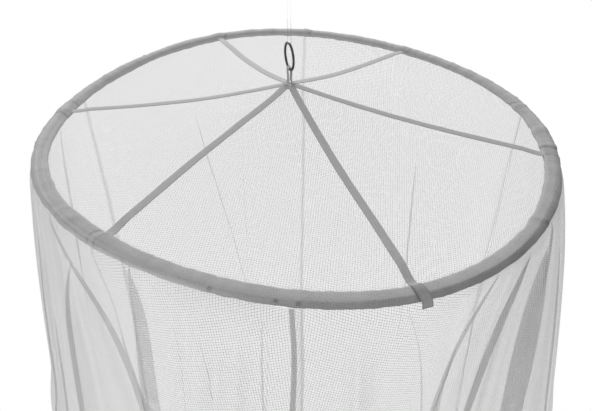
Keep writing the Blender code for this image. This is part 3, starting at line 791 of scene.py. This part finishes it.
def buildCasing():
    # an oval section carried round the hoop, with cross wrinkles, the stitched edge, lumps, laps and knots
    angle, turn = np.meshgrid(circle(casing["columns"]), circle(casing["sides"]), indexing="ij")
    radius, height = hoopCurve(angle)
    along = angle * hoopRadius
    swell = np.zeros_like(angle)
    for degrees, rise, half in casing["lumps"]:
        swell += rise * bell(alongHoop(angle, degrees) / half)
    # how much darker the cloth is drawn: painted shade at laps and knots, the doubled band, and painted
    # light, below zero, on the sides
    dark = np.zeros_like(angle)
    for degrees, step, way in casing["laps"]:
        # the edge of the lap leans and wavers across the casing
        away = way * alongHoop(angle, degrees) + 0.0042 * np.cos(turn - 1.3) ** 2 * way
        away += 0.0006 * np.sin(turn * 3.0 + degrees)
        swell += step * np.exp(-np.maximum(away, 0.0) / 0.018) / (1 + np.exp(-away / 0.0007))
        # painted shade in the crease beside the lap's edge
        dark += 0.45 * bell((away + 0.0014) / 0.0020)
    girth = turn * 0.007
    wrinkle = 0.0
    for rise, lengthways, crossways, seed in casing["wrinkles"]:
        wrinkle += rise * waves(along * lengthways, girth * crossways, seed)
    fromSeam = angleFrom(turn, math.radians(casing["seamAt"]))
    pucker = 1 + 0.35 * np.sin(along / casing["stitch"] * 2 * np.pi)
    pinch = casing["seamPinch"] * bell(fromSeam / casing["seamHalf"]) * pucker
    for degrees in casing["knots"]:
        spot = bell(alongHoop(angle, degrees) / casing["knotHalfLength"])
        spot = spot * bell((fromSeam - casing["knotAt"]) / casing["knotHalfWidth"])
        # painted shade at the knot
        dark += 0.8 * spot
        swell += casing["knotRise"] * spot

    def band(name):
        return np.interp(np.degrees(angle), casing["bandAngles"], casing[name])

    # the doubled band along the outer side, where skirt and sleeve are stitched together
    around = angleFrom(turn, 0.0)
    bandTop = np.radians(band("bandEdges") + 2.5 * waves(along * 45.0, 0.0, 34))
    inside = 1 / (1 + np.exp((around - bandTop) / 0.03)) * (around > -2.0)
    down = np.clip((bandTop - around) / (bandTop + 0.35), 0.0, 1.0)
    # the band's own darker tone near its edge, with painted shade added, and painted shade towards the
    # bottom; where that is below zero, painted light offsets the underside's shade
    dark += inside * (band("bandDark") * (1 - down) + band("bandBottomPaintedShadeAndLight") * down)
    fromTop = angleFrom(turn, math.radians(casing["topAt"])) / math.radians(casing["topHalf"])
    # painted light: outside the band, the cloth away from the top is made lighter, to offset its shade
    dark -= casing["sidesPaintedLighter"] * (1 - bell(fromTop)) * (1 - inside)
    thin = casing["thinTop"] * (1 - inside) + inside * down * band("bandThin")
    wide = canopy["casingHalfWidth"] + wrinkle - pinch + 0.5 * swell
    high = canopy["casingHalfHeight"] + wrinkle - pinch + swell * (np.sin(turn) > -0.3)
    out = radius + wide * powered(np.cos(turn), casing["corner"])
    up = height + high * powered(np.sin(turn), casing["corner"])

    def flat(row, column):
        u = row * (2 * np.pi * hoopRadius / casing["columns"])
        v = column * (casing["clothWidth"] / casing["sides"])
        return turnFlat(u, v, *casing["weave"])

    points = polar(out, angle, up)
    piece = gridPiece("casingCloth", points, casingMaterial(), flat, np.clip(dark, -0.4, 1.0), (True, True))
    addValues(piece.data, "thin", thin)
    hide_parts("casing")
    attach(piece, "root")


buildCasing()
print("casing done")

# tapes over the cap, and the loop of the same tape that holds the ring
tape = {
    "halfWidth": 0.00475,
    "thickness": 0.0009,
    "sides": 14,
    "lift": 0.0010,
    "droop": 0.0010,
    "spacing": 0.0016,
    "start": 0.0032,    # from the peak, of a length of about 0.29
    "length": 0.29,
    "narrowest": 28.6,    # half the angle that a tape may fill at the peak
    "colour": (0.85, 0.85, 0.85),
    "rib": 0.00065,
    "edgeAt": 0.0040,    # firm edge and line of stitches, from the middle
    "stitchAt": 0.0033,
    "stitchHalf": 0.00028,
    "stitchLength": 0.0030,
    # number, hoop angle, sideways bow halfway, free end past the casing
    "tapes": (
        (1, 55, 0, 0), (2, 116, 0.002, 0), (3, 174, 0, 0),
        (4, 232.5, -0.008, 0), (5, 291.8, 0, 0.0045), (6, 349.5, 0.001, 0),
    ),
    "tuckedEnd": ((-0.0082, 0.0020), (-0.0055, 0.0024)),    # outward and up from the rod
    "freeEnd": ((0.0106, 0.0036), (0.0132, 0.0012), (0.0150, 0.0006)),
    # painted shadow of the casing on the free end: distances out from the rod, amounts
    "coveredAt": (-0.0095, -0.0050, 0.0090, 0.0145),
    "covered": (0.0, 0.34, 0.34, 0.05),
}


def tapeMaterial():
    # plain woven tape: fine cross ribs, firm edges, and a line of stitches near each edge
    material, tree, shader = newMaterial("tape", tape["colour"], 0.8)
    place = flatPlace(tree)
    apart = addNode("ShaderNodeSeparateXYZ", {0: place})
    along = apart.outputs[0]
    across = calc("ABSOLUTE", apart.outputs[1])
    ribs = calc("SINE", calc("MULTIPLY", along, 2 * math.pi / tape["rib"]))
    edge = calc("GREATER_THAN", across, tape["edgeAt"])
    fromLine = calc("ABSOLUTE", calc("SUBTRACT", across, tape["stitchAt"]))
    dash = calc("FRACT", calc("MULTIPLY", along, 1 / tape["stitchLength"]))
    dash = calc("LESS_THAN", dash, 0.72)
    stitch = calc("MULTIPLY", calc("LESS_THAN", fromLine, tape["stitchHalf"]), dash)
    shade = calc("MULTIPLY_ADD", noiseTexture(place, 220.0, 3.0), 0.24, 0.85)
    shade = calc("SUBTRACT", shade, calc("MULTIPLY", edge, 0.10))
    shade = calc("ADD", shade, calc("MULTIPLY", stitch, 0.16))
    # painted shadow: the end that lies on the casing is darkened, as no light comes up through it
    shade = calc("MULTIPLY", shade, calc("SUBTRACT", 1.0, attributeValue(tree, "densityAndShade")))
    grey = addNode("ShaderNodeCombineColor", {0: shade, 1: shade, 2: shade}).outputs[0]
    colour = colourMix(tree, "MULTIPLY", 1.0, (*tape["colour"], 1.0), grey)
    fill(shader, {"Base Color": colour})
    height = calc("MULTIPLY_ADD", stitch, 1.5, calc("MULTIPLY", ribs, 0.5))
    addBump(shader, height, 0.5, 0.00015)
    return material


tapeCloth = tapeMaterial()


def stripPiece(name, path, normal, side, half, shadow=None):
    # a rounded flat section of the given half width carried along a path, narrowing at both ends
    turn = circle(tape["sides"])
    across = half[:, None] * powered(np.cos(turn), 0.35)[None, :]
    thick = tape["thickness"] / 2 * powered(np.sin(turn), 0.7)
    points = path[:, None] + side[:, None] * across[..., None] + normal[:, None] * thick[None, :, None]
    points = closeEnds(points, 0.45)
    length = np.pad(lengthAlong(path), 1, mode="edge")
    across = np.concatenate([across[:1] * 0.5, across, across[-1:] * 0.5])

    def flat(row, column):
        return np.stack([length[row], across[row, column % tape["sides"]]], -1)

    densityAndShade = None if shadow is None else shadow(points)
    return gridPiece(name, points, tapeCloth, flat, densityAndShade, (False, True))


def smoothPath(points, spacing):
    # points every spacing along a smooth line through a few given ones
    chord = lengthAlong(points)
    at = np.linspace(0.0, chord[-1], max(int(chord[-1] / spacing), 8))
    slope = np.gradient(points, chord, axis=0)
    i = np.clip(np.searchsorted(chord, at, side="right") - 1, 0, len(chord) - 2)
    step = (chord[i + 1] - chord[i])[:, None]
    return hermite((at - chord[i])[:, None] / step, step, points[i], points[i + 1], slope[i], slope[i + 1])


def tapePath(angle, bow, freeEnd):
    # over the cap from the peak, a little bowed, then to the casing, or over it and down if the end is free
    start = tape["start"] / tape["length"]
    part = start + (1 - start) * np.linspace(0.0, 1.0, 12)
    path = capPoint(part, angle + bow * np.sin(np.pi * part) / (tape["length"] * np.maximum(part, 0.25)))
    path[:, 2] += tape["lift"] - tape["droop"] * np.sin(np.pi * part) ** 2
    if freeEnd:
        wide = canopy["casingHalfWidth"] + 0.0008
        high = canopy["casingHalfHeight"] + 0.0012
        over = [(wide * math.cos(turn), high * math.sin(turn)) for turn in np.radians([140, 110, 80, 50])]
        over += tape["freeEnd"]
        over[-1] = (over[-1][0], over[-1][1] - freeEnd)
    else:
        path = path[:-1]
        over = tape["tuckedEnd"]
    radius, height = hoopCurve(angle)
    over = [polar(radius + x, angle, height + z) for x, z in over]
    return smoothPath(np.concatenate([path, over]), tape["spacing"])


def buildTapes():
    for number, degrees, bow, freeEnd in tape["tapes"]:
        angle = math.radians(degrees)
        path = tapePath(angle, bow, freeEnd)
        radius = hoopCurve(angle)[0]
        # across the tape: level, then tilted as the hoop climbs there
        forward = unit(np.gradient(path, axis=0))
        side = unit(np.cross(upward, forward * (1.0, 1.0, 0.0) + polar(0.05, angle, 0.0)))
        side[:, 2] = (hoopCurve(angle + 0.01)[1] - hoopCurve(angle - 0.01)[1]) / (0.02 * radius)
        side = unit(side)
        normal = unit(np.cross(forward, side))
        away = np.hypot(path[:, 0] - peak[0], path[:, 1] - peak[1])
        half = np.minimum(tape["halfWidth"], away * math.tan(math.radians(tape["narrowest"])) - 0.0002)
        half *= 1 + 0.03 * waves(away * 120, 0.0, 40 + number)
        if freeEnd:
            # the free end spreads a little
            half *= 1 + 0.24 * np.clip((away - 0.290) / 0.008, 0.0, 1.0)
        stray = 0.0004 * waves(away * 45, 0.0, 50 + number) * (away > 0.01)
        path += side * stray[:, None]

        # painted shadow of the casing on the free end, by distance out from the rod
        def shadow(points):
            out = np.hypot(points[..., 0], points[..., 1]) - radius
            return np.interp(out, tape["coveredAt"], tape["covered"])

        piece = stripPiece("tape%d" % number, path, normal, side, half, shadow if freeEnd else None)
        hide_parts("tape_%d" % number)
        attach(piece, "root")


buildTapes()

# ring: it hangs plumb, turned about the vertical
ring = {
    "radius": 0.0156,
    "wire": 0.0028,
    "centreHeight": 0.092,
    "turn": -19.0,
    "gapAt": 176.0,    # where the wire's two ends meet
    "gapHalf": 0.0009,
    "colour": (0.16, 0.16, 0.165),
    "roughness": (0.18, 0.42),
}
ringTurn = math.radians(ring["turn"])
ringAcross = polar(1.0, -ringTurn, 0.0)
ringAlong = polar(1.0, np.pi / 2 - ringTurn, 0.0)
peakLine = peak * (1.0, 1.0, 0.0)

hangingLoop = {
    "halfWidth": 0.0040,
    "footAbovePeak": 0.0024,
    "gapToWire": 0.0009,
    "spacing": 0.0006,
    # its lower part on one side: across the ring's face, height above its foot
    "profile": ((0.0072, -0.0014), (0.0038, -0.0005), (0.0022, 0.0006), (0.0018, 0.0030), (0.0019, 0.0090)),
}


def inRingPlane(profile):
    # points given as (across the ring's face, height above the hoop's centre)
    profile = np.asarray(profile, float)
    return peakLine + profile[:, :1] * ringAcross + profile[:, 1:] * upward


def buildHangingLoop():
    # the tape goes up from its foot, over the ring's wire in an arc, and down again as a mirror image
    wire = ring["centreHeight"] - ring["radius"]
    bend = ring["wire"] / 2 + hangingLoop["gapToWire"]
    foot = peak[2] + hangingLoop["footAbovePeak"]
    half = [(x, foot + z) for x, z in hangingLoop["profile"]]
    half += [(0.0021, wire - 0.0050), (bend * 0.96, wire - 0.0012)]
    turns = np.radians([60, 30, 0, -30, -60])
    over = [(bend * math.sin(turn), wire + 0.0005 + bend * math.cos(turn)) for turn in turns]
    path = smoothPath(inRingPlane(half + over + [(-x, z) for x, z in reversed(half)]), hangingLoop["spacing"])
    side = np.repeat(ringAlong[None, :], len(path), axis=0)
    normal = unit(np.cross(unit(np.gradient(path, axis=0)), side))
    width = hangingLoop["halfWidth"] * (1 - 0.10 * bell((path[:, 2] - wire) / 0.004))
    piece = stripPiece("hangingLoop", path, normal, side, width)
    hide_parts("hanging_loop")
    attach(piece, "root")


buildHangingLoop()
print("tapes done")


def buildRing():
    # round wire bent to a circle, its two ends meeting at the left with a fine gap between rounded ends
    turn = circle(160)
    middle = ring["radius"] * (np.cos(turn)[:, None] * ringAlong + np.sin(turn)[:, None] * upward)
    middle += peakLine + upward * ring["centreHeight"]
    fromGap = np.abs(angleFrom(turn, math.radians(ring["gapAt"]))) * ring["radius"]
    size = ring["wire"] / 2 * np.sqrt(1 - 0.55 * np.maximum(1 - fromGap / ring["gapHalf"], 0.0) ** 2)
    steel = steelMaterial("steelRing", ring, 600.0, 4.0)
    piece = gridPiece("ringWire", tubePoints(middle, size, 18, True), steel, closed=(True, True))
    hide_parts("ring")
    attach(piece, "root")


buildRing()

# thread: doubled clear nylon, from its knot down under the ring's top wire and up again
thread = {
    "diameter": 0.0011,
    "topHeight": 0.1685,
    "legGap": 0.0012,    # each leg's distance from the middle, at the knot
    "colour": (0.90, 0.90, 0.90),
    "alpha": 0.16,
    "alphaAbove": 0.04,    # its upper end catches less light: the change lies between these two heights
    "fadeFrom": -0.060,
    "fadeTo": -0.050,
}


def threadMaterial():
    # clear nylon: mostly see-through, with a glossy skin
    material, tree, shader = newMaterial("clearThread", thread["colour"], 0.15)
    place = tree.nodes.new("ShaderNodeTexCoord").outputs["Object"]
    height = addNode("ShaderNodeSeparateXYZ", {0: place}).outputs[2]
    alpha = remap(height, thread["fadeFrom"], thread["fadeTo"], thread["alpha"], thread["alphaAbove"])
    fill(shader, {"Alpha": alpha, "Coat Weight": 0.4, "Coat Roughness": 0.1})
    return material


clearNylon = threadMaterial()


def buildThread():
    # two straight legs that spread to the wire's width, joined by a half circle under the wire
    wire = ring["centreHeight"] + ring["radius"]
    bend = ring["wire"] / 2 + 0.0004 + thread["diameter"] / 2
    top = thread["topHeight"]
    gap = thread["legGap"]
    leg = [(gap + (bend - gap) * (1 - u), wire + (top - wire) * u) for u in np.linspace(1.0, 0.0, 23)]
    under = [(bend * math.cos(t), wire - bend * math.sin(t)) for t in np.radians([30, 60, 90, 120, 150])]
    route = inRingPlane(leg + under + [(-x, z) for x, z in reversed(leg)]) + hoopCentre
    curve = bpy.data.curves.new("threadLine", "CURVE")
    curve.dimensions = "3D"
    curve.bevel_depth = thread["diameter"] / 2
    curve.bevel_resolution = 4
    curve.use_fill_caps = True
    line = curve.splines.new("POLY")
    line.points.add(len(route) - 1)
    line.points.foreach_set("co", np.insert(route, 3, 1.0, axis=1).astype(np.float32).ravel())
    line.use_smooth = True
    curve.materials.append(clearNylon)
    piece = newObject("threadLine", curve)
    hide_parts("thread")
    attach(piece, "root")


# the knot above the thread: wraps round both its legs, and the eye that hangs on the hook
knot = {
    "aboveThread": 0.0008,
    "turns": 4.25,
    "height": 0.0042,
    "wrapRadius": 0.00165,
    "wrapWire": 0.00062,    # radius of the thread itself
    "eyeTop": 0.1906,
    "eyeAbove": 0.0036,
    "eyeHalfWidth": 0.0042,
    "eyeWire": 0.00060,
}


def buildKnot():
    # a helix round both legs, and an egg-shaped line, wider above
    low = thread["topHeight"] + knot["aboveThread"]
    turn = np.linspace(0.0, 2 * np.pi * knot["turns"], 130)[:, None]
    wraps = peakLine + upward * (low + knot["height"] * turn / turn[-1]) + knot["wrapRadius"] * (
        np.cos(turn) * ringAcross + np.sin(turn) * ringAlong)
    base = low + knot["eyeAbove"]
    sweep = np.radians(np.linspace(-78.0, 258.0, 70))
    x = knot["eyeHalfWidth"] * np.cos(sweep) * (1 + 0.25 * np.sin(sweep))
    z = (base + knot["eyeTop"]) / 2 + (knot["eyeTop"] - base) / 2 * np.sin(sweep)
    eye = inRingPlane(np.stack([x, z], -1))
    for name, line, radius in (("knotWraps", wraps, knot["wrapWire"]), ("knotEye", eye, knot["eyeWire"])):
        tube = closeEnds(tubePoints(line, radius, 10), 0.02)
        piece = gridPiece(name, tube, clearNylon, closed=(False, True))
        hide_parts("thread_knot")
        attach(piece, "root")


buildThread()
buildKnot()
print("ring, thread and knot done")

# hoop: the rod inside the casing keeps its shape and gets a drawn-steel finish
rod = {"colour": (0.55, 0.55, 0.56), "roughness": (0.3, 0.55)}
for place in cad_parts["hoop"].material_slots:
    place.material = steelMaterial("rodSteel", rod, 300.0, 2.0)
